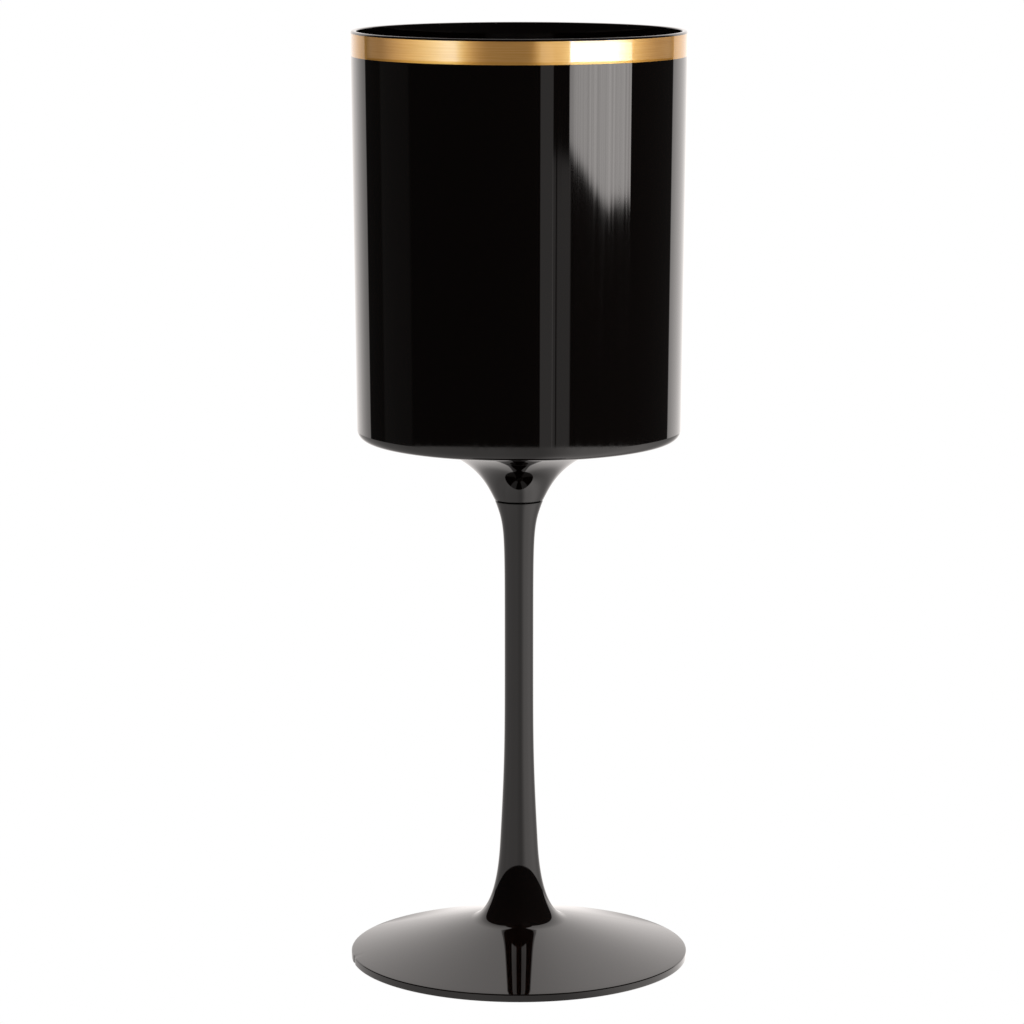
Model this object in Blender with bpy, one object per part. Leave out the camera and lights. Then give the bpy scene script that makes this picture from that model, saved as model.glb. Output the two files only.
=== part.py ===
"""Two-piece moulded stem glass: a straight-sided cup on a slim stem with a conical foot.

The cup moulding carries the upper half of the flared neck and a blind socket. The stem and
foot are one moulding with a spigot that seats in the socket, held there by a layer of
adhesive. A stamped foil band runs round the cup just under the lip.

The glass stands on z = 0 with its axis on Z. Sizes below are in metres, written as
millimetres times MM.
"""

from math import cos, hypot, pi, radians, sin, tan

import bmesh
import bpy

MM = 0.001

# Overall
TOTAL_HEIGHT = 198.3 * MM
LIP_RADIUS = 35.0 * MM  # outside of the cup at the lip
FOOT_RADIUS = 36.0 * MM

# Cup
CUP_HEIGHT = 85.5 * MM  # lip to underside
CUP_DRAFT = radians(0.6)  # outside wall, narrower downwards
CORE_DRAFT = radians(1.0)  # inside wall, narrower downwards
LIP_WALL = 1.15 * MM
LIP_ROUNDING = 0.475 * MM  # outer edge of the lip
LIP_TURN = radians(65)  # how far that rounding turns over before the flat of the lip
LIP_FALL = radians(3)  # fall of the flat towards the inside
LIP_INNER_ROUNDING = 0.2 * MM
FLOOR_THICKNESS = 2.1 * MM
CUP_CORNER_RADIUS = 2.1 * MM  # outside, where the wall meets the underside
FLOOR_FILLET_RADIUS = 3.5 * MM  # inside, where the wall meets the floor

# Foil band
BAND_MARGIN = 0.45 * MM  # bare plastic between the lip and the band
BAND_HEIGHT = 4.7 * MM
FOIL_THICKNESS = 0.05 * MM
FOIL_GAP = 0.02 * MM

# Neck, from the cup's underside down to the seam
NECK_HEIGHT = 13.1 * MM
NECK_RADIUS = 5.25 * MM  # at the seam
NECK_SLOPE = radians(28.3)  # of the flare at the seam, from vertical
NECK_PULL = 3.4 * MM  # how far the flare keeps its slope above the seam
NECK_TURN_RADIUS = 10.3 * MM  # where the level underside starts to turn down

# Joint between the two mouldings
SEAM_GAP = 0.3 * MM
SEAM_STEP = 0.19 * MM  # the stem's shoulder is this much inside the neck's edge
SPIGOT_RADIUS = 2.6 * MM
SPIGOT_LENGTH = 5.2 * MM
SPIGOT_CHAMFER = 0.5 * MM
SOCKET_CLEARANCE = 0.3 * MM  # round the spigot and over its end
BOND_GAP = 0.05 * MM  # adhesive to plastic, on either side
BOND_SETBACK = 0.5 * MM  # adhesive kept back from the outside of the seam

# Stem. The pulls and the waist's place are shares of the stretch of curve they shape.
WAIST_RADIUS = 3.06 * MM
WAIST_AT = 0.6  # from the flare's top up to the shoulder
SHOULDER_BEND = 5.6 * MM  # how far below the shoulder the stem turns out
TAPER_PULL_WAIST = 0.5
TAPER_PULL_FLARE = 0.41
FLARE_TOP_RADIUS = 4.05 * MM
FLARE_TOP_SLOPE = radians(3.16)  # from vertical
FLARE_HEIGHT = 16.9 * MM  # above where it runs into the foot
FLARE_PULL_TOP = 0.34
FLARE_FOOT_RADIUS = 10.5 * MM  # where it runs into the foot
FLARE_PULL_FOOT = 5.3 * MM

# Foot
FOOT_SLOPE = radians(14.3)
FOOT_EDGE_HEIGHT = 1.72 * MM
FOOT_EDGE_RADIUS = 0.3 * MM  # rounding of the edge, top and bottom
CONTACT_RING_WIDTH = 2.2 * MM
RING_STEP_RUN = 0.2 * MM  # draft of the ring's inner wall
FOOT_THICKNESS = 1.8 * MM
ROOT_RECESS_RADIUS = 7.0 * MM
ROOT_RECESS_DEPTH = 7.2 * MM
ROOT_RECESS_PULL = 3.2 * MM
ROOT_RECESS_TIP = 1.4 * MM  # half width of its rounded end

SEGMENTS = 64
WELD = 0.001 * MM
SHARP_ANGLE = radians(35)

UNDERSIDE = TOTAL_HEIGHT - CUP_HEIGHT
SEAM = UNDERSIDE - NECK_HEIGHT
SHOULDER = SEAM - SEAM_GAP
SHOULDER_RADIUS = NECK_RADIUS - SEAM_STEP
SOCKET_RADIUS = SPIGOT_RADIUS + SOCKET_CLEARANCE
SPIGOT_TOP = SHOULDER + SPIGOT_LENGTH
SOCKET_TOP = SPIGOT_TOP + SOCKET_CLEARANCE


def cup_radius(height):
    """Outside radius of the cup's drafted wall at a height."""
    return LIP_RADIUS - (TOTAL_HEIGHT - height) * tan(CUP_DRAFT)


def core_radius(height):
    """Inside radius of the cup's drafted wall at a height."""
    return LIP_RADIUS - LIP_WALL - (TOTAL_HEIGHT - height) * tan(CORE_DRAFT)


def foot_top(radius):
    """Height of the foot's conical upper face at a radius."""
    return FOOT_EDGE_HEIGHT + (FOOT_RADIUS - radius) * tan(FOOT_SLOPE)


def bezier(start, pull_start, pull_end, end, steps):
    """Points along a cubic curve in the (radius, height) plane, both ends included."""
    points = []
    for i in range(steps + 1):
        t = i / steps
        weights = ((1 - t) ** 3, 3 * (1 - t) ** 2 * t, 3 * (1 - t) * t * t, t**3)
        corners = (start, pull_start, pull_end, end)
        radius = sum(w * c[0] for w, c in zip(weights, corners))
        height = sum(w * c[1] for w, c in zip(weights, corners))
        points.append((radius, height))
    return points


def arc(centre, radius, start, end, steps):
    """Points along a circular arc, angles from the outward radial direction."""
    points = []
    for i in range(steps + 1):
        angle = start + (end - start) * i / steps
        points.append((centre[0] + radius * cos(angle), centre[1] + radius * sin(angle)))
    return points


def along(point, lean, distance):
    """The point moved up a line that leans in towards the axis by an angle from vertical."""
    return (point[0] - distance * sin(lean), point[1] + distance * cos(lean))


def cup_outline():
    """Half section of the cup moulding, from the floor's centre over the lip to the socket."""
    floor = UNDERSIDE + FLOOR_THICKNESS
    fillet = FLOOR_FILLET_RADIUS
    fillet_centre = (core_radius(floor + fillet) - fillet, floor + fillet)
    lip_centre = (LIP_RADIUS - LIP_ROUNDING, TOTAL_HEIGHT - LIP_ROUNDING * sin(LIP_TURN))
    ridge = lip_centre[0] + LIP_ROUNDING * cos(LIP_TURN)
    inner = LIP_RADIUS - LIP_WALL + LIP_INNER_ROUNDING
    drop = (ridge - inner) * tan(LIP_FALL)
    inner_centre = (inner, TOTAL_HEIGHT - LIP_INNER_ROUNDING - drop)
    corner = CUP_CORNER_RADIUS
    corner_centre = (cup_radius(UNDERSIDE + corner) - corner, UNDERSIDE + corner)

    outline = [(0.0, floor)]
    outline += arc(fillet_centre, fillet, -pi / 2, 0.0, 5)
    outline += arc(inner_centre, LIP_INNER_ROUNDING, pi, pi / 2 + LIP_FALL, 3)
    outline += arc(lip_centre, LIP_ROUNDING, LIP_TURN, 0.0, 5)
    outline += arc(corner_centre, corner, 0.0, -pi / 2, 5)
    neck_turn = along((NECK_RADIUS, SEAM), -NECK_SLOPE, NECK_PULL)
    level_turn = (NECK_TURN_RADIUS, UNDERSIDE)
    underside_edge = (corner_centre[0], UNDERSIDE)
    outline += bezier(underside_edge, level_turn, neck_turn, (NECK_RADIUS, SEAM), 14)[1:]
    outline += [(SOCKET_RADIUS, SEAM), (SOCKET_RADIUS, SOCKET_TOP), (0.0, SOCKET_TOP)]
    return outline


def stem_outline():
    """Half section of the stem and foot, from the spigot's top down to the recess under the stem."""
    outline = [(0.0, SPIGOT_TOP), (SPIGOT_RADIUS - SPIGOT_CHAMFER, SPIGOT_TOP)]
    outline += [(SPIGOT_RADIUS, SPIGOT_TOP - SPIGOT_CHAMFER), (SPIGOT_RADIUS, SHOULDER)]

    foot_start = (FLARE_FOOT_RADIUS, foot_top(FLARE_FOOT_RADIUS))
    flare_top = (FLARE_TOP_RADIUS, foot_start[1] + FLARE_HEIGHT)
    waist = (WAIST_RADIUS, flare_top[1] + WAIST_AT * (SHOULDER - flare_top[1]))
    bend = (WAIST_RADIUS, SHOULDER - SHOULDER_BEND)
    outline += bezier((SHOULDER_RADIUS, SHOULDER), bend, bend, waist, 9)

    taper = waist[1] - flare_top[1]
    below_waist = (WAIST_RADIUS, waist[1] - TAPER_PULL_WAIST * taper)
    above_flare = along(flare_top, FLARE_TOP_SLOPE, TAPER_PULL_FLARE * taper)
    outline += bezier(waist, below_waist, above_flare, flare_top, 6)[1:]

    in_flare = along(flare_top, FLARE_TOP_SLOPE, -FLARE_PULL_TOP * FLARE_HEIGHT)
    uphill = along(foot_start, pi / 2 - FOOT_SLOPE, FLARE_PULL_FOOT)
    outline += bezier(flare_top, in_flare, uphill, foot_start, 8)[1:]

    edge = FOOT_EDGE_RADIUS
    rim = FOOT_RADIUS - edge
    outline += arc((rim, foot_top(FOOT_RADIUS) - edge), edge, pi / 2 - FOOT_SLOPE, 0.0, 3)
    outline += arc((rim, edge), edge, 0.0, -pi / 2, 3)

    ring = FOOT_RADIUS - CONTACT_RING_WIDTH
    under_ring = ring - RING_STEP_RUN
    outline += [(ring, 0.0), (under_ring, foot_top(under_ring) - FOOT_THICKNESS)]
    recess = (ROOT_RECESS_RADIUS, foot_top(ROOT_RECESS_RADIUS) - FOOT_THICKNESS)
    inward = along(recess, pi / 2 - FOOT_SLOPE, ROOT_RECESS_PULL)
    tip_height = recess[1] + ROOT_RECESS_DEPTH
    outline += bezier(recess, inward, (ROOT_RECESS_TIP, tip_height), (0.0, tip_height), 6)
    return outline


def band_outline():
    """Closed section of the foil band, lying along the cup's drafted wall."""
    top = TOTAL_HEIGHT - BAND_MARGIN
    bottom = top - BAND_HEIGHT
    inner = FOIL_GAP
    outer = FOIL_GAP + FOIL_THICKNESS
    return [
        (cup_radius(top) + inner, top),
        (cup_radius(top) + outer, top),
        (cup_radius(bottom) + outer, bottom),
        (cup_radius(bottom) + inner, bottom),
    ]


def bond_outline():
    """Closed section of the adhesive: a sleeve round the spigot and a flange in the seam."""
    inner = SPIGOT_RADIUS + BOND_GAP
    outer = SOCKET_RADIUS - BOND_GAP
    flange = SHOULDER_RADIUS - BOND_SETBACK
    top = SPIGOT_TOP - SPIGOT_CHAMFER
    return [
        (inner, top),
        (outer, top),
        (outer, SEAM - BOND_GAP),
        (flange, SEAM - BOND_GAP),
        (flange, SHOULDER + BOND_GAP),
        (inner, SHOULDER + BOND_GAP),
    ]


def without_repeats(outline):
    """The outline with points that fall on the one before them left out."""
    kept = [outline[0]]
    for point in outline[1:]:
        if hypot(point[0] - kept[-1][0], point[1] - kept[-1][1]) > WELD:
            kept.append(point)
    return kept


def turned(name, outline, material, closed=False):
    """Turn a half section about Z into a solid."""
    mesh = bpy.data.meshes.new(name)
    bm = bmesh.new()
    verts = [bm.verts.new((radius, 0.0, height)) for radius, height in without_repeats(outline)]
    edges = [bm.edges.new(pair) for pair in zip(verts, verts[1:])]
    if closed:
        edges.append(bm.edges.new((verts[-1], verts[0])))
    bmesh.ops.spin(
        bm,
        geom=verts + edges,
        cent=(0.0, 0.0, 0.0),
        axis=(0.0, 0.0, 1.0),
        angle=2 * pi,
        steps=SEGMENTS,
        use_merge=True,
    )
    bmesh.ops.remove_doubles(bm, verts=bm.verts, dist=WELD)
    bmesh.ops.recalc_face_normals(bm, faces=bm.faces)
    bm.to_mesh(mesh)
    bm.free()
    mesh.shade_smooth()
    mesh.set_sharp_from_angle(angle=SHARP_ANGLE)
    mesh.materials.append(material)
    piece = bpy.data.objects.new(name, mesh)
    bpy.context.scene.collection.objects.link(piece)
    return piece


def finish(name, color, roughness, metallic=0.0):
    """A plain Principled BSDF material."""
    material = bpy.data.materials.new(name)
    material.use_nodes = True
    shader = material.node_tree.nodes["Principled BSDF"]
    shader.inputs["Base Color"].default_value = (*color, 1.0)
    shader.inputs["Roughness"].default_value = roughness
    shader.inputs["Metallic"].default_value = metallic
    return material


def clear_scene():
    for item in list(bpy.data.objects):
        bpy.data.objects.remove(item, do_unlink=True)


def main():
    clear_scene()
    black = finish("black_gloss_plastic", (0.006, 0.006, 0.006), 0.05)
    gold = finish("gold_foil", (0.78, 0.53, 0.25), 0.28, metallic=1.0)
    glue = finish("dark_adhesive", (0.01, 0.01, 0.01), 0.4)
    assembly = bpy.data.objects.new("stem_glass", None)
    bpy.context.scene.collection.objects.link(assembly)
    pieces = [
        turned("cup", cup_outline(), black),
        turned("gold_rim_band", band_outline(), gold, closed=True),
        turned("stem_and_foot", stem_outline(), black),
        turned("neck_bond", bond_outline(), glue, closed=True),
    ]
    for piece in pieces:
        piece.parent = assembly


main()
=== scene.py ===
"""Gloss black goblet with a gold band below the lip.

Fine turned meshes, moulded plastic and stamped foil finishes and a small studio, built round
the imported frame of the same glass. Each piece has its own operator, and a panel in the 3D
view's sidebar lists them.
"""

from math import atan2, cos, hypot, pi, radians, sin, tan

import bmesh
import bpy
from bpy.props import FloatProperty, FloatVectorProperty, IntProperty, PointerProperty
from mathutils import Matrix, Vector, noise


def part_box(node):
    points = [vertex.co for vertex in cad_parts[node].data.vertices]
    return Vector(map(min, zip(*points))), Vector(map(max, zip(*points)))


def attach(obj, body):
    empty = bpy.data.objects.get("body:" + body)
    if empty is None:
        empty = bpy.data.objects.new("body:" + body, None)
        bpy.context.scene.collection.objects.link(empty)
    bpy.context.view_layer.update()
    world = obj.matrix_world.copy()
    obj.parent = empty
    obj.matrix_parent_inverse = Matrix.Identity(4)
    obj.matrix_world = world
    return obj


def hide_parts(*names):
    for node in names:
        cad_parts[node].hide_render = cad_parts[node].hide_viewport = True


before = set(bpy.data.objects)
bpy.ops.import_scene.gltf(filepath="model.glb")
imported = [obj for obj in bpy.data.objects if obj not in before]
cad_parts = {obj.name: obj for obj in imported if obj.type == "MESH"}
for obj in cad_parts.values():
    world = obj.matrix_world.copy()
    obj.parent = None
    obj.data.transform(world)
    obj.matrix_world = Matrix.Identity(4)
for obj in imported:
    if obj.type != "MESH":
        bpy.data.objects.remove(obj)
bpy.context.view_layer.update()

bl_info = {
    "name": "Black Goblet",
    "version": (1, 0, 0),
    "blender": (4, 5, 0),
    "location": "View3D > Sidebar > Goblet",
    "description": "Builds a moulded black goblet with a gold band, and a studio to see it in",
    "category": "Object",
}

MM = 0.001
DEGREES = 180 / pi  # in a radian

# Places read from the frame
CUP_LOW, CUP_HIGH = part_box("cup")
_, STEM_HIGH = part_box("stem_and_foot")
BAND_LOW, BAND_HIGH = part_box("gold_rim_band")
BOND_LOW, BOND_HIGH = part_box("neck_bond")
LIP_RADIUS = CUP_HIGH.x
LIP = CUP_HIGH.z
SEAM = CUP_LOW.z
FOOT_RADIUS = STEM_HIGH.x
SPIGOT_TOP = STEM_HIGH.z

# Meshes
SHARP_ANGLE = radians(40)
BOND_GAP = 0.02 * MM  # adhesive to plastic
RAG_SIZE = 0.35 * MM  # grain of the broken gate
RAG_SHARE = 0.6  # how much of the gate scar's depth the grain changes
PIN_MARKS = 3
PIN_MARK_EDGE = 0.4 * MM  # how softly a pin mark ends

# Studio: bearings in degrees from the front, rises in degrees above level, both from the glass
WARM = (1.04, 0.99, 0.965)  # tint of the light
WINDOW_LEFT = 34.4
WINDOW_RIGHT = 82.6
WINDOW_DIM = 4.8
WINDOW_BRIGHT = 7.2
POST_GLOW = 0.56
CURTAIN_GLOW = 0.47
LAMP_GLOW = 5.0
FILL_GLOW = 1.5
FRONT_TOP = -2.6  # the window, post and curtains fade out above this rise
WHITE_STARTS = 130.0  # the white lies beyond this bearing on both sides
FLOOR_RADIUS = 6.0
FLOOR_DROP = 0.2 * MM  # the floor lies this far below the foot
TABLE_DROP = 0.3 * MM
BACKDROP_RADIUS = 7.0
PANEL_RADIUS = 3.0
PANEL_HEIGHT = 1.6
PANEL_MIDDLE = 0.7  # height of the panels' middle


# ---------------------------------------------------------------- settings


def length(name, description, default):
    """A length property in metres."""
    return FloatProperty(name=name, description=description, default=default, unit="LENGTH", precision=5)


def angle(name, description, degrees):
    """An angle property, its default given in degrees."""
    return FloatProperty(name=name, description=description, default=radians(degrees), subtype="ANGLE")


def factor(name, description, default, highest=1.0):
    """A plain number from nought to highest."""
    return FloatProperty(name=name, description=description, default=default, min=0.0, max=highest)


def colour(name, description, default):
    """A colour property."""
    return FloatVectorProperty(
        name=name, description=description, default=default, subtype="COLOR", size=3, min=0.0, max=1.0
    )


class CupSizes(bpy.types.PropertyGroup):
    """The cup's wall, floor and neck."""

    underside: length("Underside", "Height of the cup's underside above the table", LIP - 85.5 * MM)
    lip_wall: length("Lip wall", "Wall thickness at the lip", 1.15 * MM)
    lip_round: length("Lip rounding", "Rounding of the lip's outer edge", 0.475 * MM)
    lip_turn: angle("Lip turn", "How far that rounding turns over before the flat of the lip", 65.0)
    lip_fall: angle("Lip fall", "Fall of the lip's flat towards the inside", 3.0)
    lip_inner: length("Inner rounding", "Rounding of the lip's inner edge", 0.2 * MM)
    draft: angle("Draft", "Taper of the outside wall", 0.6)
    core_draft: angle("Core draft", "Taper of the inside wall", 1.0)
    floor: length("Floor", "Thickness of the floor", 2.1 * MM)
    corner: length("Corner", "Rounding of the outside bottom corner", 2.1 * MM)
    fillet: length("Fillet", "Rounding of the inside bottom corner", 3.5 * MM)
    neck_radius: length("Neck radius", "Outside of the neck at the seam", 5.25 * MM)
    neck_slope: angle("Neck slope", "Lean of the flare at the seam", 28.3)
    neck_pull: length("Neck pull", "How far the flare keeps that lean", 3.4 * MM)
    neck_turn: length("Neck turn", "Radius where the underside turns down into the neck", 10.3 * MM)
    neck_edge: length("Neck edge", "Rounding of the neck's lower edge", 0.12 * MM)
    socket: length("Socket", "Radius of the blind socket", 2.9 * MM)
    socket_top: length("Socket top", "Height of the socket's end", SPIGOT_TOP + 0.3 * MM)


class StemSizes(bpy.types.PropertyGroup):
    """The stem, from the spigot down to the flare."""

    seam_gap: length("Seam gap", "Height of the seam between the two mouldings", 0.3 * MM)
    shoulder: length("Shoulder", "Radius of the stem at the seam", 5.06 * MM)
    shoulder_edge: length("Shoulder edge", "Rounding of the shoulder", 0.1 * MM)
    bend: length("Bend", "How far below the shoulder the stem turns out", 5.6 * MM)
    spigot: length("Spigot", "Radius of the spigot", 2.6 * MM)
    chamfer: length("Chamfer", "Chamfer on the spigot's end", 0.5 * MM)
    waist: length("Waist", "Radius where the stem is slimmest", 3.06 * MM)
    waist_at: factor("Waist place", "From the flare's top up to the shoulder", 0.6)
    pull_waist: factor("Waist pull", "Share of the taper that stays slim", 0.5)
    pull_flare: factor("Flare pull", "Share of the taper that follows the flare's lean", 0.41)
    flare_radius: length("Flare radius", "Radius at the top of the flare", 4.05 * MM)
    flare_lean: angle("Flare lean", "Lean of the stem at the top of the flare", 3.16)
    flare_height: length("Flare height", "From the foot's cone up to the top of the flare", 16.9 * MM)
    flare_hold: factor("Flare hold", "Share of the flare that keeps its lean", 0.34)


class FootSizes(bpy.types.PropertyGroup):
    """The conical foot and the hollow under it."""

    slope: angle("Slope", "Fall of the foot's upper face", 14.3)
    edge_height: length("Edge height", "Height of the plain outer edge", 1.72 * MM)
    edge_round: length("Edge rounding", "Rounding at the top and bottom of the edge", 0.3 * MM)
    start: length("Start", "Radius where the flare runs into the cone", 10.5 * MM)
    start_pull: length("Start pull", "How far the cone's fall carries into the flare", 5.3 * MM)
    ring: length("Contact ring", "Width of the flat ring it stands on", 2.2 * MM)
    ring_draft: length("Ring draft", "Run of the ring's inner wall", 0.2 * MM)
    thickness: length("Thickness", "Thickness of the foot", 1.8 * MM)
    recess: length("Recess", "Radius of the hollow under the stem", 7.0 * MM)
    recess_depth: length("Recess depth", "Depth of that hollow", 7.2 * MM)
    recess_pull: length("Recess pull", "How far the underside carries into it", 3.2 * MM)
    recess_tip: length("Recess tip", "Half width of its rounded end", 1.4 * MM)
    pin_ring: length("Pin ring", "Radius of the ring of ejector pin marks", 22.0 * MM)
    pin_mark: length("Pin mark", "Radius of each ejector pin mark", 1.6 * MM)
    pin_depth: length("Pin depth", "Depth of each ejector pin mark", 0.12 * MM)
    gate_bearing: angle("Gate bearing", "Bearing of the gate scar, from straight ahead", -78.0)
    gate_width: length("Gate width", "Half width of the gate scar", 0.7 * MM)
    gate_depth: length("Gate depth", "Depth of the gate scar", 0.16 * MM)


class BandSizes(bpy.types.PropertyGroup):
    """The foil band."""

    foil: length("Foil", "How proud of the cup the foil stands", 0.04 * MM)
    bed: length("Bed", "How far inside the cup's wall the band's back lies", 0.005 * MM)


class PlasticFinish(bpy.types.PropertyGroup):
    """Black polystyrene as it leaves a polished mould."""

    tint: colour("Colour", "Body colour", (0.0036, 0.0016, 0.0011))
    roughness: factor("Roughness", "Roughness where the mould is best polished", 0.02)
    drawn: factor("Drawn", "Extra roughness in the streaks drawn by the mould", 0.03)
    streak: length("Streak", "Width of a drawn streak on the cup", 0.7 * MM)
    ripple: length("Ripple", "Height of the slight ripple in the surface", 0.0012 * MM)
    ripple_size: length("Ripple size", "Distance between ripples", 7.0 * MM)


class FoilFinish(bpy.types.PropertyGroup):
    """Hot-stamped gold foil."""

    tint: colour("Colour", "Foil colour", (0.54, 0.305, 0.08))
    glance: colour("Glancing colour", "Tint of the foil seen almost edge on", (0.72, 0.62, 0.48))
    # Painted shade: the darker gold laid in the low parts of the fine lines
    line_shade: colour("Deep colour", "Foil colour in the lines", (0.47, 0.245, 0.05))
    roughness: factor("Roughness", "Roughness across the lines", 0.34)
    line: length("Line", "Width of the fine lines round the band", 0.16 * MM)
    line_depth: length("Line depth", "Height of the fine lines", 0.0015 * MM)


class StudioSizes(bpy.types.PropertyGroup):
    """Camera and surroundings."""

    distance: length("Distance", "Level distance from the glass to the lens", 852.8 * MM)
    eye: length("Eye height", "Height of the lens above the table", 242.7 * MM)
    tilt: angle("Tilt", "How far the camera looks down", 9.704)
    turn: angle("Turn", "How far the camera looks past the glass, to the left", 0.1)
    roll: angle("Roll", "Lean of the camera", 0.0)
    lens: FloatProperty(name="Lens", description="Focal length in millimetres", default=143.7)
    table: length("Table", "Radius of the lit table top", 625.0 * MM)


class Goblet(bpy.types.PropertyGroup):
    """All settings of the glass and its studio."""

    cup: PointerProperty(type=CupSizes)
    stem: PointerProperty(type=StemSizes)
    foot: PointerProperty(type=FootSizes)
    band: PointerProperty(type=BandSizes)
    plastic: PointerProperty(type=PlasticFinish)
    foil: PointerProperty(type=FoilFinish)
    studio: PointerProperty(type=StudioSizes)
    sides: IntProperty(name="Sides", description="Sides of a turned piece", default=256, min=64)


# ---------------------------------------------------------------- outlines


def bezier(start, pull_start, pull_end, end, steps):
    """Points along a cubic curve in the (radius, height) plane, both ends included."""
    corners = [Vector(corner) for corner in (start, pull_start, pull_end, end)]
    points = []
    for i in range(steps + 1):
        t = i / steps
        weights = ((1 - t) ** 3, 3 * (1 - t) ** 2 * t, 3 * (1 - t) * t * t, t**3)
        points.append(tuple(sum((c * w for c, w in zip(corners, weights)), Vector((0.0, 0.0)))))
    return points


def arc(centre, radius, start, end, steps):
    """Points along a circular arc, angles from the outward radial direction."""
    turns = [start + (end - start) * i / steps for i in range(steps + 1)]
    return [(centre[0] + radius * cos(turn), centre[1] + radius * sin(turn)) for turn in turns]


def run(start, end, steps):
    """Points inside a straight stretch, its ends left out."""
    shares = [i / steps for i in range(1, steps)]
    return [(start[0] + (end[0] - start[0]) * t, start[1] + (end[1] - start[1]) * t) for t in shares]


def along(point, lean, distance):
    """The point moved up a line that leans in towards the axis by an angle from vertical."""
    return (point[0] - distance * sin(lean), point[1] + distance * cos(lean))


def cup_radius(sizes, height):
    """Outside radius of the cup's wall at a height."""
    return LIP_RADIUS - (LIP - height) * tan(sizes.draft)


def core_radius(sizes, height):
    """Inside radius of the cup's wall at a height."""
    return LIP_RADIUS - sizes.lip_wall - (LIP - height) * tan(sizes.core_draft)


def foot_top(sizes, radius):
    """Height of the foot's upper face at a radius."""
    return sizes.edge_height + (FOOT_RADIUS - radius) * tan(sizes.slope)


def cup_outline(sizes):
    """Half section of the cup, from the floor's centre over the lip and down to the socket."""
    floor = sizes.underside + sizes.floor
    fillet_centre = (core_radius(sizes, floor + sizes.fillet) - sizes.fillet, floor + sizes.fillet)
    lip_centre = (LIP_RADIUS - sizes.lip_round, LIP - sizes.lip_round * sin(sizes.lip_turn))
    ridge_radius = lip_centre[0] + sizes.lip_round * cos(sizes.lip_turn)
    inner = sizes.lip_inner
    inner_radius = LIP_RADIUS - sizes.lip_wall + inner
    drop = (ridge_radius - inner_radius) * tan(sizes.lip_fall)
    inner_centre = (inner_radius, LIP - inner - drop)
    corner_height = sizes.underside + sizes.corner
    corner_centre = (cup_radius(sizes, corner_height) - sizes.corner, corner_height)
    edge = sizes.neck_edge
    edge_centre = (sizes.neck_radius - edge, SEAM + edge)
    neck = (sizes.neck_radius, SEAM + edge)

    inside = arc(fillet_centre, sizes.fillet, -pi / 2, 0.0, 16)
    over_lip = arc(inner_centre, inner, pi, pi / 2 + sizes.lip_fall, 8)
    over_lip += arc(lip_centre, sizes.lip_round, sizes.lip_turn, 0.0, 16)
    corner = arc(corner_centre, sizes.corner, 0.0, -pi / 2, 20)
    neck_turn = along((sizes.neck_radius, SEAM), -sizes.neck_slope, sizes.neck_pull)
    underside = bezier(corner[-1], (sizes.neck_turn, sizes.underside), neck_turn, neck, 72)
    outline = [(0.0, floor), *run((0.0, floor), inside[0], 6)]
    outline += [*inside, *run(inside[-1], over_lip[0], 12), *over_lip]
    outline += [*run(over_lip[-1], corner[0], 24), *corner, *underside[1:]]
    outline += arc(edge_centre, edge, 0.0, -pi / 2, 6)[1:]
    outline += [(sizes.socket, SEAM), (sizes.socket, sizes.socket_top), (0.0, sizes.socket_top)]
    return outline


def stem_outline(stem, foot):
    """Half section of the stem and foot, from the spigot's end to the hollow under the stem."""
    shoulder = SEAM - stem.seam_gap
    edge = stem.shoulder_edge
    outline = [(0.0, SPIGOT_TOP), (stem.spigot - stem.chamfer, SPIGOT_TOP)]
    outline += [(stem.spigot, SPIGOT_TOP - stem.chamfer), (stem.spigot, shoulder)]
    outline += arc((stem.shoulder - edge, shoulder - edge), edge, pi / 2, 0.0, 5)

    foot_start = (foot.start, foot_top(foot, foot.start))
    flare_top = (stem.flare_radius, foot_start[1] + stem.flare_height)
    waist = (stem.waist, flare_top[1] + stem.waist_at * (shoulder - flare_top[1]))
    bend = (stem.waist, shoulder - stem.bend)
    outline += bezier(outline[-1], bend, bend, waist, 48)[1:]

    taper = waist[1] - flare_top[1]
    below_waist = (stem.waist, waist[1] - stem.pull_waist * taper)
    above_flare = along(flare_top, stem.flare_lean, stem.pull_flare * taper)
    outline += bezier(waist, below_waist, above_flare, flare_top, 36)[1:]

    in_flare = along(flare_top, stem.flare_lean, -stem.flare_hold * stem.flare_height)
    uphill = along(foot_start, pi / 2 - foot.slope, foot.start_pull)
    outline += bezier(flare_top, in_flare, uphill, foot_start, 48)[1:]

    rim = FOOT_RADIUS - foot.edge_round
    top_edge = arc((rim, foot.edge_height - foot.edge_round), foot.edge_round, pi / 2 - foot.slope, 0.0, 12)
    low_edge = arc((rim, foot.edge_round), foot.edge_round, 0.0, -pi / 2, 10)
    outline += [*run(foot_start, top_edge[0], 20), *top_edge, *run(top_edge[-1], low_edge[0], 4), *low_edge]

    ring = FOOT_RADIUS - foot.ring
    under_ring = ring - foot.ring_draft
    web = (under_ring, foot_top(foot, under_ring) - foot.thickness)
    recess = (foot.recess, foot_top(foot, foot.recess) - foot.thickness)
    inward = along(recess, pi / 2 - foot.slope, foot.recess_pull)
    tip_height = recess[1] + foot.recess_depth
    outline += [(ring, 0.0), web, *run(web, recess, 60)]
    outline += bezier(recess, inward, (foot.recess_tip, tip_height), (0.0, tip_height), 20)
    return outline


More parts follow.
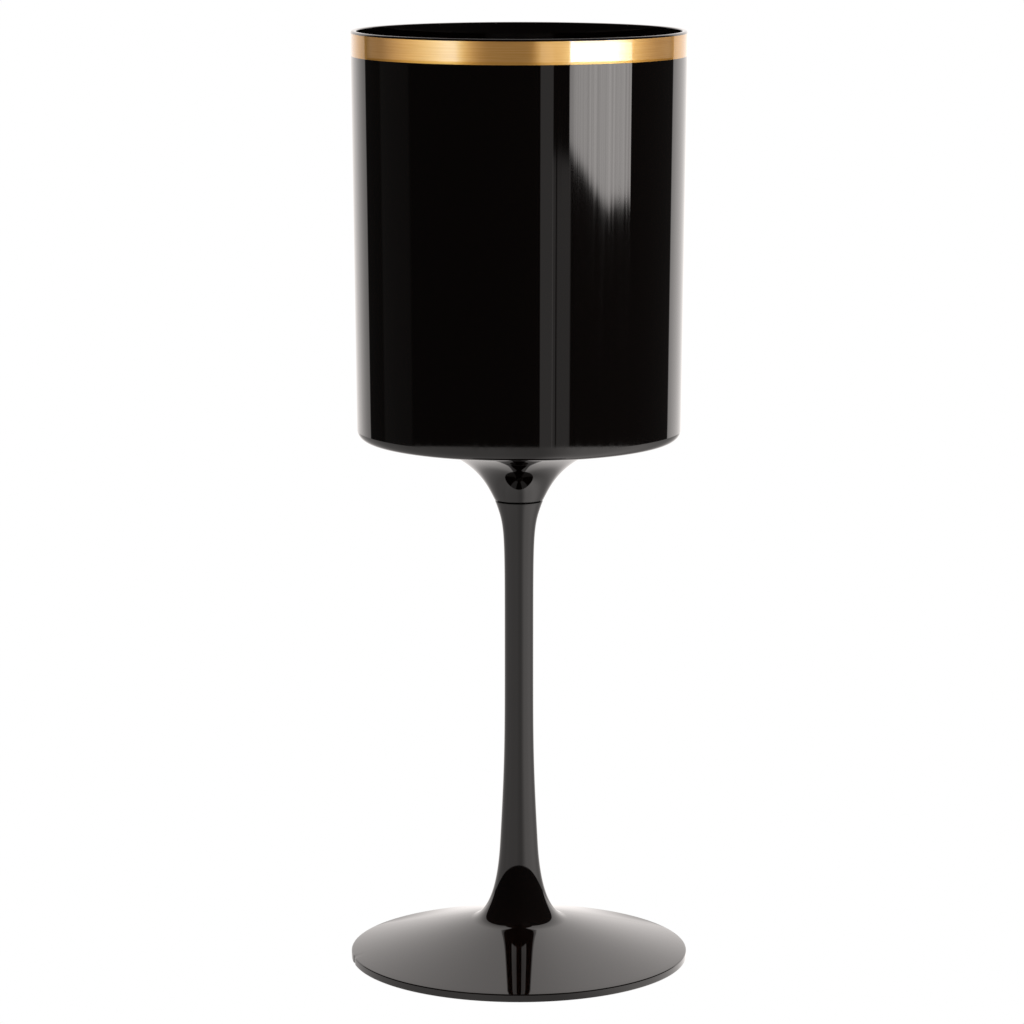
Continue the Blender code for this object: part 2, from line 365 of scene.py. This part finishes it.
def band_outline(cup, band):
    """Closed section of the foil, its outer edges just rounded."""
    top, bottom = BAND_HIGH.z, BAND_LOW.z
    half = band.foil / 2
    outer_top = cup_radius(cup, top) + band.foil
    outer_bottom = cup_radius(cup, bottom) + band.foil
    outline = [(cup_radius(cup, top) - band.bed, top)]
    outline += arc((outer_top - half, top - half), half, pi / 2, 0.0, 4)
    outline += run((outer_top, top - half), (outer_bottom, bottom + half), 8)
    outline += arc((outer_bottom - half, bottom + half), half, 0.0, -pi / 2, 4)
    outline.append((cup_radius(cup, bottom) - band.bed, bottom))
    return outline


def bond_outline(stem, cup):
    """Closed section of the adhesive: a sleeve round the spigot and a flange in the seam."""
    inner = stem.spigot + BOND_GAP
    outer = cup.socket - BOND_GAP
    flange = BOND_HIGH.x
    low, high = BOND_LOW.z, SEAM - BOND_GAP
    bead = (high - low) / 2
    outline = [(inner, BOND_HIGH.z), (outer, BOND_HIGH.z), (outer, high)]
    outline += arc((flange - bead, low + bead), bead, pi / 2, -pi / 2, 6)
    outline.append((inner, low))
    return outline


# ---------------------------------------------------------------- meshes


def turned(name, outline, bearings, closed=False):
    """A solid turned about Z from a half section, with a side at each bearing."""
    bm = bmesh.new()
    rings = []
    for radius, height in outline:
        if radius == 0.0:
            rings.append([bm.verts.new((0.0, 0.0, height))] * len(bearings))
        else:
            rings.append([bm.verts.new((radius * cos(b), radius * sin(b), height)) for b in bearings])
    pairs = list(zip(rings, rings[1:]))
    if closed:
        pairs.append((rings[-1], rings[0]))
    for upper, lower in pairs:
        for i in range(len(bearings)):
            j = (i + 1) % len(bearings)
            corners = [upper[i], upper[j], lower[j], lower[i]]
            bm.faces.new(list(dict.fromkeys(corners)))
    bmesh.ops.recalc_face_normals(bm, faces=bm.faces)
    mesh = bpy.data.meshes.new(name)
    bm.to_mesh(mesh)
    bm.free()
    mesh.shade_smooth()
    mesh.set_sharp_from_angle(angle=SHARP_ANGLE)
    piece = bpy.data.objects.new(name, mesh)
    bpy.context.scene.collection.objects.link(piece)
    return piece


def even_bearings(sides):
    """Bearings all round, evenly spaced."""
    return [2 * pi * i / sides for i in range(sides)]


def gathered_bearings(sides, centre, spread, extra):
    """Even bearings with some more packed in round one place."""
    packed = [centre + spread * (2 * i / (extra - 1) - 1) for i in range(extra)]
    clear = pi / sides
    kept = []
    for bearing in even_bearings(sides):
        away = atan2(sin(bearing - centre), cos(bearing - centre))
        if abs(away) > spread + clear:
            kept.append(bearing)
    return sorted(kept + [bearing % (2 * pi) for bearing in packed])


def bell(distance):
    """One at nought, falling smoothly to nought at one."""
    share = min(abs(distance), 1.0)
    return (1 - share * share) ** 2


def sink_gate_scar(mesh, foot):
    """Cut the small ragged scar where the moulding's gate was broken off the foot's edge."""
    place = foot.gate_bearing - pi / 2
    for vertex in mesh.vertices:
        x, y, z = vertex.co
        radius = hypot(x, y)
        if radius < FOOT_RADIUS - 4 * foot.edge_round or z > foot.edge_height:
            continue
        away = atan2(sin(atan2(y, x) - place), cos(atan2(y, x) - place)) * FOOT_RADIUS
        depth = bell(away / (2 * foot.gate_width)) * foot.gate_depth
        rag = 1 + RAG_SHARE * noise.noise(Vector((x, y, z)) / RAG_SIZE)
        vertex.co.x -= x / radius * depth * rag
        vertex.co.y -= y / radius * depth * rag


def sink_pin_marks(mesh, foot):
    """Press the round witness marks of the ejector pins into the foot's underside."""
    turns = [pi / 2 + 2 * pi * i / PIN_MARKS for i in range(PIN_MARKS)]
    centres = [(foot.pin_ring * cos(turn), foot.pin_ring * sin(turn)) for turn in turns]
    for vertex in mesh.vertices:
        x, y, z = vertex.co
        radius = hypot(x, y)
        if not foot.recess < radius < FOOT_RADIUS - foot.ring:
            continue
        if z > foot_top(foot, radius) - foot.thickness / 2:
            continue
        for centre_x, centre_y in centres:
            past_mark = max(0.0, hypot(x - centre_x, y - centre_y) - foot.pin_mark)
            vertex.co.z += foot.pin_depth * bell(past_mark / PIN_MARK_EDGE)


# ---------------------------------------------------------------- shader arithmetic


class Wire:
    """An output socket that takes part in Python arithmetic."""

    def __init__(self, shader, socket):
        self.shader = shader
        self.socket = socket

    def __add__(self, other):
        return self.shader.math("ADD", self, other)

    __radd__ = __add__

    def __sub__(self, other):
        return self.shader.math("SUBTRACT", self, other)

    def __rsub__(self, other):
        return self.shader.math("SUBTRACT", other, self)

    def __mul__(self, other):
        return self.shader.math("MULTIPLY", self, other)

    __rmul__ = __mul__

    def __truediv__(self, other):
        return self.shader.math("DIVIDE", self, other)

    def __rtruediv__(self, other):
        return self.shader.math("DIVIDE", other, self)

    def __pow__(self, other):
        return self.shader.math("POWER", self, other)

    def __rpow__(self, other):
        return self.shader.math("POWER", other, self)

    def __abs__(self):
        return self.shader.math("ABSOLUTE", self)


class Shader:
    """A node tree being filled."""

    def __init__(self, tree):
        self.tree = tree

    def node(self, kind, settings=None, inputs=None, output=0):
        """Add a node: its settings first, then the values or wires of its sockets."""
        made = self.tree.nodes.new(kind)
        for key, value in (settings or {}).items():
            setattr(made, key, value)
        for key, value in (inputs or {}).items():
            socket = self.find(made.inputs, key)
            if isinstance(value, Wire):
                self.tree.links.new(value.socket, socket)
            else:
                socket.default_value = value
        return Wire(self, self.find(made.outputs, output)) if made.outputs else None

    def find(self, sockets, key):
        """A socket by its place, its identifier or its name."""
        if isinstance(key, int):
            return sockets[key]
        for socket in sockets:
            if socket.identifier == key:
                return socket
        return sockets[key]

    def math(self, operation, *values):
        """A Math node on wires or numbers."""
        return self.node("ShaderNodeMath", {"operation": operation}, dict(enumerate(values)))

    def coordinates(self, output):
        """Texture coordinates as separate x, y and z."""
        vector = self.node("ShaderNodeTexCoord", output=output)
        return [self.node("ShaderNodeSeparateXYZ", None, {"Vector": vector}, axis) for axis in "XYZ"]

    def vector(self, x, y, z):
        """Three values as one vector."""
        return self.node("ShaderNodeCombineXYZ", None, {"X": x, "Y": y, "Z": z})

    def ramp(self, value, low, high, out_low=0.0, out_high=1.0, smooth=True):
        """A value taken from one range to another, held at the ends."""
        kind = {"interpolation_type": "SMOOTHSTEP" if smooth else "LINEAR"}
        ends = {"Value": value, "From Min": low, "From Max": high, "To Min": out_low, "To Max": out_high}
        return self.node("ShaderNodeMapRange", kind, ends, "Result")

    def window(self, value, low, high, soft):
        """One between low and high, nought outside, with soft sides."""
        entering = self.ramp(value, low - soft, low + soft)
        leaving = self.ramp(value, high - soft, high + soft, 1.0, 0.0)
        return entering * leaving

    def noise(self, vector, scale, detail=2.0, roughness=0.5):
        """Smooth noise from nought to one."""
        inputs = {"Vector": vector, "Scale": scale, "Detail": detail, "Roughness": roughness}
        return self.node("ShaderNodeTexNoise", {"noise_dimensions": "3D"}, inputs, "Fac")

    def blend(self, share, first, second):
        """Two colours mixed."""
        inputs = {"Factor_Float": share, "A_Color": (*first, 1.0), "B_Color": (*second, 1.0)}
        return self.node("ShaderNodeMix", {"data_type": "RGBA"}, inputs, "Result_Color")

    def tinted(self, tint, level):
        """A colour made brighter or darker by a level."""
        return self.node("ShaderNodeVectorMath", {"operation": "SCALE"}, {0: tint, "Scale": level})

    def round_the_axis(self):
        """Unit direction from the axis, and the height, of the shaded point."""
        x, y, z = self.coordinates("Object")
        radius = self.math("MAXIMUM", self.math("SQRT", x * x + y * y), 1e-6)
        return x / radius, y / radius, z

    def bump(self, height, distance):
        """A Bump node, in metres."""
        inputs = {"Height": height, "Distance": distance, "Strength": 1.0}
        return self.node("ShaderNodeBump", None, inputs)


def new_material(name):
    """An empty node material and the shader that fills it."""
    material = bpy.data.materials.new(name)
    material.use_nodes = True
    material.node_tree.nodes.clear()
    return material, Shader(material.node_tree)


def surface(shader, kind, inputs):
    """End a material in one shader node."""
    shader.node("ShaderNodeOutputMaterial", None, {"Surface": shader.node(kind, None, inputs)})


def plastic_material(finish):
    """Gloss black plastic: streaks drawn up the piece by the mould, and a slight ripple."""
    material, shader = new_material("gloss_black_plastic")
    across_x, across_y, height = shader.round_the_axis()
    turns = LIP_RADIUS / finish.streak
    streaks = shader.noise(shader.vector(across_x * turns, across_y * turns, height * 12.0), 1.0, 3.0, 0.6)
    patches = shader.noise(shader.vector(across_x * 3.0, across_y * 3.0, height * 60.0), 1.0, 1.0)
    drawn = shader.ramp(streaks, 0.35, 0.75) * patches
    point = shader.node("ShaderNodeTexCoord", output="Object")
    ripple = shader.noise(point, 1.0 / finish.ripple_size, 1.0)
    inputs = {
        "Base Color": (*finish.tint, 1.0),
        "Roughness": drawn * finish.drawn + finish.roughness,
        "Normal": shader.bump(ripple, finish.ripple),
        "IOR": 1.5,
        "Anisotropic": 0.8,
        "Anisotropic Rotation": 0.25,
    }
    surface(shader, "ShaderNodeBsdfPrincipled", inputs)
    return material


def foil_material(finish):
    """Stamped gold foil: fine lines round the band in its gloss and relief, and painted shade that darkens
    the gold in the low parts of the lines.
    """
    material, shader = new_material("stamped_gold_foil")
    across_x, across_y, height = shader.round_the_axis()
    fine = height / finish.line
    lines = shader.noise(shader.vector(across_x * 2.5, across_y * 2.5, fine), 1.0, 3.0, 0.65)
    broad = shader.noise(shader.vector(across_x * 5.0, across_y * 5.0, fine * 0.2), 1.0, 2.0)
    inputs = {
        # Painted shade: the gold is darkened where the fine lines are low
        "Base Color": shader.blend(shader.ramp(lines, 0.3, 0.7), finish.line_shade, finish.tint),
        "Metallic": 1.0,
        "Roughness": lines * 0.16 + broad * 0.08 + (finish.roughness - 0.12),
        "Normal": shader.bump(lines, finish.line_depth),
        "Specular Tint": (*finish.glance, 1.0),
        "Anisotropic": 1.0,
        "Anisotropic Rotation": 0.25,
        "Coat Weight": 1.0,
        "Coat Roughness": 0.05,
    }
    surface(shader, "ShaderNodeBsdfPrincipled", inputs)
    return material


def adhesive_material():
    """Dull dark adhesive, seen only at the bottom of the seam."""
    material, shader = new_material("dark_adhesive")
    grain = shader.noise(shader.node("ShaderNodeTexCoord", output="Object"), 2500.0, 3.0)
    inputs = {
        "Base Color": shader.blend(grain, (0.002, 0.002, 0.002), (0.006, 0.005, 0.005)),
        "Roughness": grain * 0.3 + 0.4,
        "Normal": shader.bump(grain, 0.01 * MM),
    }
    surface(shader, "ShaderNodeBsdfPrincipled", inputs)
    return material


def glow_material(name, light):
    """A surface that only gives light, as bright in each place as the light function says."""
    material, shader = new_material(name)
    surface(shader, "ShaderNodeEmission", {"Color": light(shader)})
    return material


def floor_material():
    """Pale floor, clear from underneath so that the foot can be looked at from below."""
    material, shader = new_material("studio_floor")
    above = shader.node("ShaderNodeEmission")
    below = shader.node("ShaderNodeBsdfTransparent")
    underneath = shader.node("ShaderNodeNewGeometry", output="Backfacing")
    surface(shader, "ShaderNodeMixShader", {0: underneath, 1: above, 2: below})
    return material


def sheer_material(name, light):
    """Light hanging in the air, that lets everything behind it be seen."""
    material, shader = new_material(name)
    glow = shader.node("ShaderNodeEmission", None, {"Color": light(shader)})
    clear = shader.node("ShaderNodeBsdfTransparent")
    surface(shader, "ShaderNodeAddShader", {0: glow, 1: clear})
    return material


# ---------------------------------------------------------------- studio


def bearing_of(shader, x, y):
    """Bearing in degrees of a direction or place: nought towards the front, positive to the right."""
    return shader.math("ARCTAN2", x, 0.0 - y) * DEGREES


def plain_light(_shader):
    """The white of the backdrop."""
    return 1.0, 1.0, 1.0, 1.0


def table_light(shader):
    """How bright the table top looks: brighter on the right, where the window light falls."""
    x, y, _ = shader.coordinates("Object")
    bearing = bearing_of(shader, x, y)
    left = 0.14 * shader.window(bearing, -80.0, -6.0, 12.0)
    right = 0.95 * shader.ramp(bearing, 12.0, 46.0) * shader.ramp(bearing, 75.0, 135.0, 1.0, 0.0)
    behind = 0.45 * shader.ramp(abs(bearing), 150.0, 166.0)
    level = 0.72 + left + right + behind - 0.14 * shader.window(abs(bearing), 105.0, 146.0, 12.0)
    return shader.tinted(WARM, level)


def back_light(shader, bearing):
    """The white behind the glass, dimmer in the middle, by bearing from straight behind."""
    beside = 0.2 * shader.ramp(bearing, -18.0, -2.0, 1.0, 0.0) + 0.35 * shader.ramp(bearing, 0.0, 12.0)
    left_edge = 0.42 * shader.ramp(bearing, -50.0, -26.0, 1.0, 0.0)
    right_edge = 0.12 * shader.ramp(bearing, 40.0, 50.0)
    return 1.12 + beside - left_edge - right_edge


def window_light(shader, bearing, rise):
    """A streaked window low on the right, with a sloping, slightly ragged foot."""
    fine = shader.noise(shader.vector(bearing, 0.0, 0.0), 0.35, 4.0, 0.7)
    foot = shader.ramp(bearing, 30.0, 60.0, -5.71, -6.49, smooth=False)
    foot = foot + shader.ramp(bearing, 62.0, 82.0, 0.0, 0.2, smooth=False)
    above_foot = rise - foot + (fine - 0.5) * 0.5
    opening = shader.window(bearing, WINDOW_LEFT, WINDOW_RIGHT, 0.25) * shader.ramp(above_foot, -0.1, 0.22)
    sides = shader.ramp(bearing, 34.0, 42.0, 0.7, 1.0) * shader.ramp(bearing, 68.0, 84.0, 1.0, 0.82)
    return opening * shader.ramp(fine, 0.3, 0.7, WINDOW_DIM, WINDOW_BRIGHT) * sides


def room_light(shader, bearing, rise):
    """A dim post and curtains beside the window, and a faint strip far to the left."""
    post = shader.window(bearing, 14.4, 23.2, 0.3) * POST_GLOW
    curtains = shader.window(bearing, 25.9, 35.5, 0.7) + shader.window(bearing, 22.8, 25.1, 0.2)
    curtains = curtains * shader.ramp(rise, -6.07, -5.77, 1.0, 0.0) * CURTAIN_GLOW
    return post + curtains + shader.window(bearing, -110.0, -81.0, 1.5) * 0.04


def lamp_light(shader, bearing, rise):
    """Lamps high up on both sides, that show only in a reflection of a reflection."""
    depth = shader.node("ShaderNodeLightPath", output="Ray Depth")
    twice = shader.math("GREATER_THAN", depth, 2.5) * shader.math("LESS_THAN", depth, 3.5)
    lamps = shader.window(abs(bearing), 22.0, 64.0, 0.8) * shader.window(rise, 40.0, 62.0, 0.8)
    return lamps * twice * LAMP_GLOW


def surround_light(shader):
    """What lies beyond the table: white behind, dark in front with a window and lamps."""
    x, y, z = shader.coordinates("Generated")
    bearing = bearing_of(shader, x, y)
    rise = shader.math("ARCSINE", z) * DEGREES
    back = back_light(shader, shader.math("ARCTAN2", x, y) * DEGREES)
    low = shader.ramp(rise, FRONT_TOP, FRONT_TOP + 0.6, 1.0, 0.0)
    front = (window_light(shader, bearing, rise) + room_light(shader, bearing, rise)) * low
    front = front + lamp_light(shader, bearing, rise) + shader.ramp(bearing, -20.0, 60.0, 0.03, 0.045)
    scattered = shader.node("ShaderNodeLightPath", output="Is Diffuse Ray")
    front = front + shader.ramp(rise, 30.0, 60.0) * scattered * FILL_GLOW
    behind = shader.ramp(abs(bearing), WHITE_STARTS, WHITE_STARTS + 1.6)
    return shader.tinted(WARM, front + behind * (back - front))


def panel_light(shader):
    """Tall soft panels to the left and right of the camera, that only the foil picks up."""
    x, y, _ = shader.coordinates("Object")
    bearing = bearing_of(shader, x, y)
    rising = shader.ramp(bearing, -107.0, -50.0, 0.0, 1.0, smooth=False)
    falling = shader.ramp(bearing, -43.5, -18.5, 1.0, 0.0, smooth=False)
    near = shader.window(bearing, 11.5, WINDOW_LEFT, 4.0)
    right = shader.window(bearing, WINDOW_LEFT, WINDOW_RIGHT, 0.8)
    right = right * shader.ramp(bearing, 66.0, 84.0, 1.0, 0.66)
    tail = shader.ramp(bearing, 82.0, 114.0, 1.0, 0.0, smooth=False) * shader.ramp(bearing, 81.0, 84.0)
    ahead = shader.ramp(abs(bearing), 120.0, 131.0, 1.0, 0.0)
    level = rising * falling * falling * 3.8 + near * 2.05 + right * 4.7 + tail * tail * 2.0 + ahead * 0.69
    level = level + shader.window(bearing, 83.0, 131.0, 2.0) * 0.38
    # Warm where dim, and whiter the brighter
    green = level * 0.8 + level**3.0 * 0.02
    blue = level * 0.6 + level**5.0 * 0.0022
    return shader.vector(level, green, blue)


def add_stage_mesh(name, corners, material):
    """One flat polygon that belongs to the stage."""
    mesh = bpy.data.meshes.new(name)
    mesh.from_pydata(corners, [], [range(len(corners))])
    mesh.materials.append(material)
    piece = bpy.data.objects.new(name, mesh)
    bpy.context.scene.collection.objects.link(piece)
    return piece


def ring_corners(radius, height, sides=96):
    """Corners of a round polygon."""
    return [(radius * cos(b), radius * sin(b), height) for b in even_bearings(sides)]


def seen_only_by(piece, camera):
    """Show a stage piece to the camera alone, or to reflections alone."""
    piece.visible_camera = camera
    piece.visible_glossy = not camera
    piece.visible_diffuse = False
    piece.visible_transmission = False
    piece.visible_shadow = False


def build_backdrop():
    """Pale floor and backdrop, for the camera alone."""
    floor = add_stage_mesh("floor", ring_corners(FLOOR_RADIUS, -FLOOR_DROP), floor_material())
    seen_only_by(floor, camera=True)

    bpy.ops.mesh.primitive_uv_sphere_add(segments=64, ring_count=32, radius=BACKDROP_RADIUS)
    backdrop = bpy.context.object
    backdrop.name = "backdrop"
    backdrop.data.materials.append(glow_material("studio_white", plain_light))
    seen_only_by(backdrop, camera=True)


def build_lights(studio):
    """The lit table, the foil's panels and the surround, all hidden from the camera."""
    lit = glow_material("lit_table", table_light)
    table = add_stage_mesh("table_glow", ring_corners(studio.table, -TABLE_DROP), lit)
    seen_only_by(table, camera=False)

    bpy.ops.mesh.primitive_cylinder_add(
        vertices=96, radius=PANEL_RADIUS, depth=PANEL_HEIGHT, end_fill_type="NOTHING"
    )
    panels = bpy.context.object
    panels.name = "foil_panels"
    panels.location.z = PANEL_MIDDLE
    panels.data.materials.append(sheer_material("panel_glow", panel_light))
    seen_only_by(panels, camera=False)
    lit_pieces = bpy.data.collections.new("lit_by_panels")
    lit_pieces.objects.link(bpy.data.objects["gold_band"])
    panels.light_linking.receiver_collection = lit_pieces

    world = bpy.data.worlds.new("studio_surround")
    world.use_nodes = True
    world.node_tree.nodes.clear()
    shader = Shader(world.node_tree)
    light = shader.node("ShaderNodeBackground", None, {"Color": surround_light(shader)})
    shader.node("ShaderNodeOutputWorld", None, {"Surface": light})
    bpy.context.scene.world = world


def build_camera(studio):
    """The camera, a little above the lip and looking slightly down."""
    data = bpy.data.cameras.new("camera")
    data.lens = studio.lens
    data.sensor_width = 36.0
    data.clip_start = 0.05
    data.clip_end = 50.0
    camera = bpy.data.objects.new("camera", data)
    camera.location = (0.0, -studio.distance, studio.eye)
    camera.rotation_euler = (pi / 2 - studio.tilt, studio.roll, studio.turn)
    scene = bpy.context.scene
    scene.collection.objects.link(camera)
    scene.camera = camera
    scene.view_settings.view_transform = "Standard"


# ---------------------------------------------------------------- operators


def shared_plastic(goblet):
    """The black plastic that both mouldings are made of."""
    return bpy.data.materials.get("gloss_black_plastic") or plastic_material(goblet.plastic)


def place(piece, node, slot, material):
    """Give a finished piece its material, and let it stand for its CAD node."""
    piece.data.materials.append(material)
    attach(piece, "root")
    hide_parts(node)


class GOBLET_OT_cup(bpy.types.Operator):
    """Turn the cup moulding with its lip, floor and neck"""

    bl_idname = "goblet.cup"
    bl_label = "Cup"

    def execute(self, context):
        goblet = context.scene.goblet
        piece = turned("cup_moulding", cup_outline(goblet.cup), even_bearings(goblet.sides))
        place(piece, "cup", "black_plastic", shared_plastic(goblet))
        return {"FINISHED"}


class GOBLET_OT_rim_band(bpy.types.Operator):
    """Lay the gold foil band round the cup"""

    bl_idname = "goblet.rim_band"
    bl_label = "Gold band"

    def execute(self, context):
        goblet = context.scene.goblet
        outline = band_outline(goblet.cup, goblet.band)
        piece = turned("gold_band", outline, even_bearings(goblet.sides), closed=True)
        place(piece, "gold_rim_band", "gold_foil", foil_material(goblet.foil))
        return {"FINISHED"}


class GOBLET_OT_stem_and_foot(bpy.types.Operator):
    """Turn the stem and foot, and mark the gate and the ejector pins"""

    bl_idname = "goblet.stem_and_foot"
    bl_label = "Stem and foot"

    def execute(self, context):
        goblet = context.scene.goblet
        foot = goblet.foot
        outline = stem_outline(goblet.stem, foot)
        spread = 4 * foot.gate_width / FOOT_RADIUS
        bearings = gathered_bearings(goblet.sides, foot.gate_bearing - pi / 2, spread, 33)
        piece = turned("stem_and_foot_moulding", outline, bearings)
        sink_gate_scar(piece.data, foot)
        sink_pin_marks(piece.data, foot)
        place(piece, "stem_and_foot", "black_plastic", shared_plastic(goblet))
        return {"FINISHED"}


class GOBLET_OT_neck_bond(bpy.types.Operator):
    """Fill the joint between the two mouldings"""

    bl_idname = "goblet.neck_bond"
    bl_label = "Neck bond"

    def execute(self, context):
        goblet = context.scene.goblet
        outline = bond_outline(goblet.stem, goblet.cup)
        piece = turned("neck_adhesive", outline, even_bearings(goblet.sides), closed=True)
        place(piece, "neck_bond", "adhesive", adhesive_material())
        return {"FINISHED"}


class GOBLET_OT_stage(bpy.types.Operator):
    """Set up the floor, backdrop, light and camera"""

    bl_idname = "goblet.stage"
    bl_label = "Stage"

    def execute(self, context):
        studio = context.scene.goblet.studio
        build_backdrop()
        build_lights(studio)
        build_camera(studio)
        return {"FINISHED"}


OPERATORS = (
    GOBLET_OT_cup,
    GOBLET_OT_rim_band,
    GOBLET_OT_stem_and_foot,
    GOBLET_OT_neck_bond,
    GOBLET_OT_stage,
)


class GOBLET_PT_pieces(bpy.types.Panel):
    """Lists the goblet's pieces"""

    bl_idname = "GOBLET_PT_pieces"
    bl_label = "Goblet"
    bl_space_type = "VIEW_3D"
    bl_region_type = "UI"
    bl_category = "Goblet"

    def draw(self, context):
        for operator in OPERATORS:
            self.layout.operator(operator.bl_idname)


CLASSES = (
    CupSizes,
    StemSizes,
    FootSizes,
    BandSizes,
    PlasticFinish,
    FoilFinish,
    StudioSizes,
    Goblet,
    *OPERATORS,
    GOBLET_PT_pieces,
)


def register():
    """Register the classes and the scene's settings."""
    for item in CLASSES:
        bpy.utils.register_class(item)
    bpy.types.Scene.goblet = PointerProperty(type=Goblet)


def unregister():
    """Take the settings and the classes away again."""
    del bpy.types.Scene.goblet
    for item in reversed(CLASSES):
        bpy.utils.unregister_class(item)


def main():
    """Build the glass and its stage."""
    register()
    bpy.ops.goblet.cup()
    bpy.ops.goblet.rim_band()
    bpy.ops.goblet.stem_and_foot()
    bpy.ops.goblet.neck_bond()
    bpy.ops.goblet.stage()


if __name__ == "__main__":
    main()
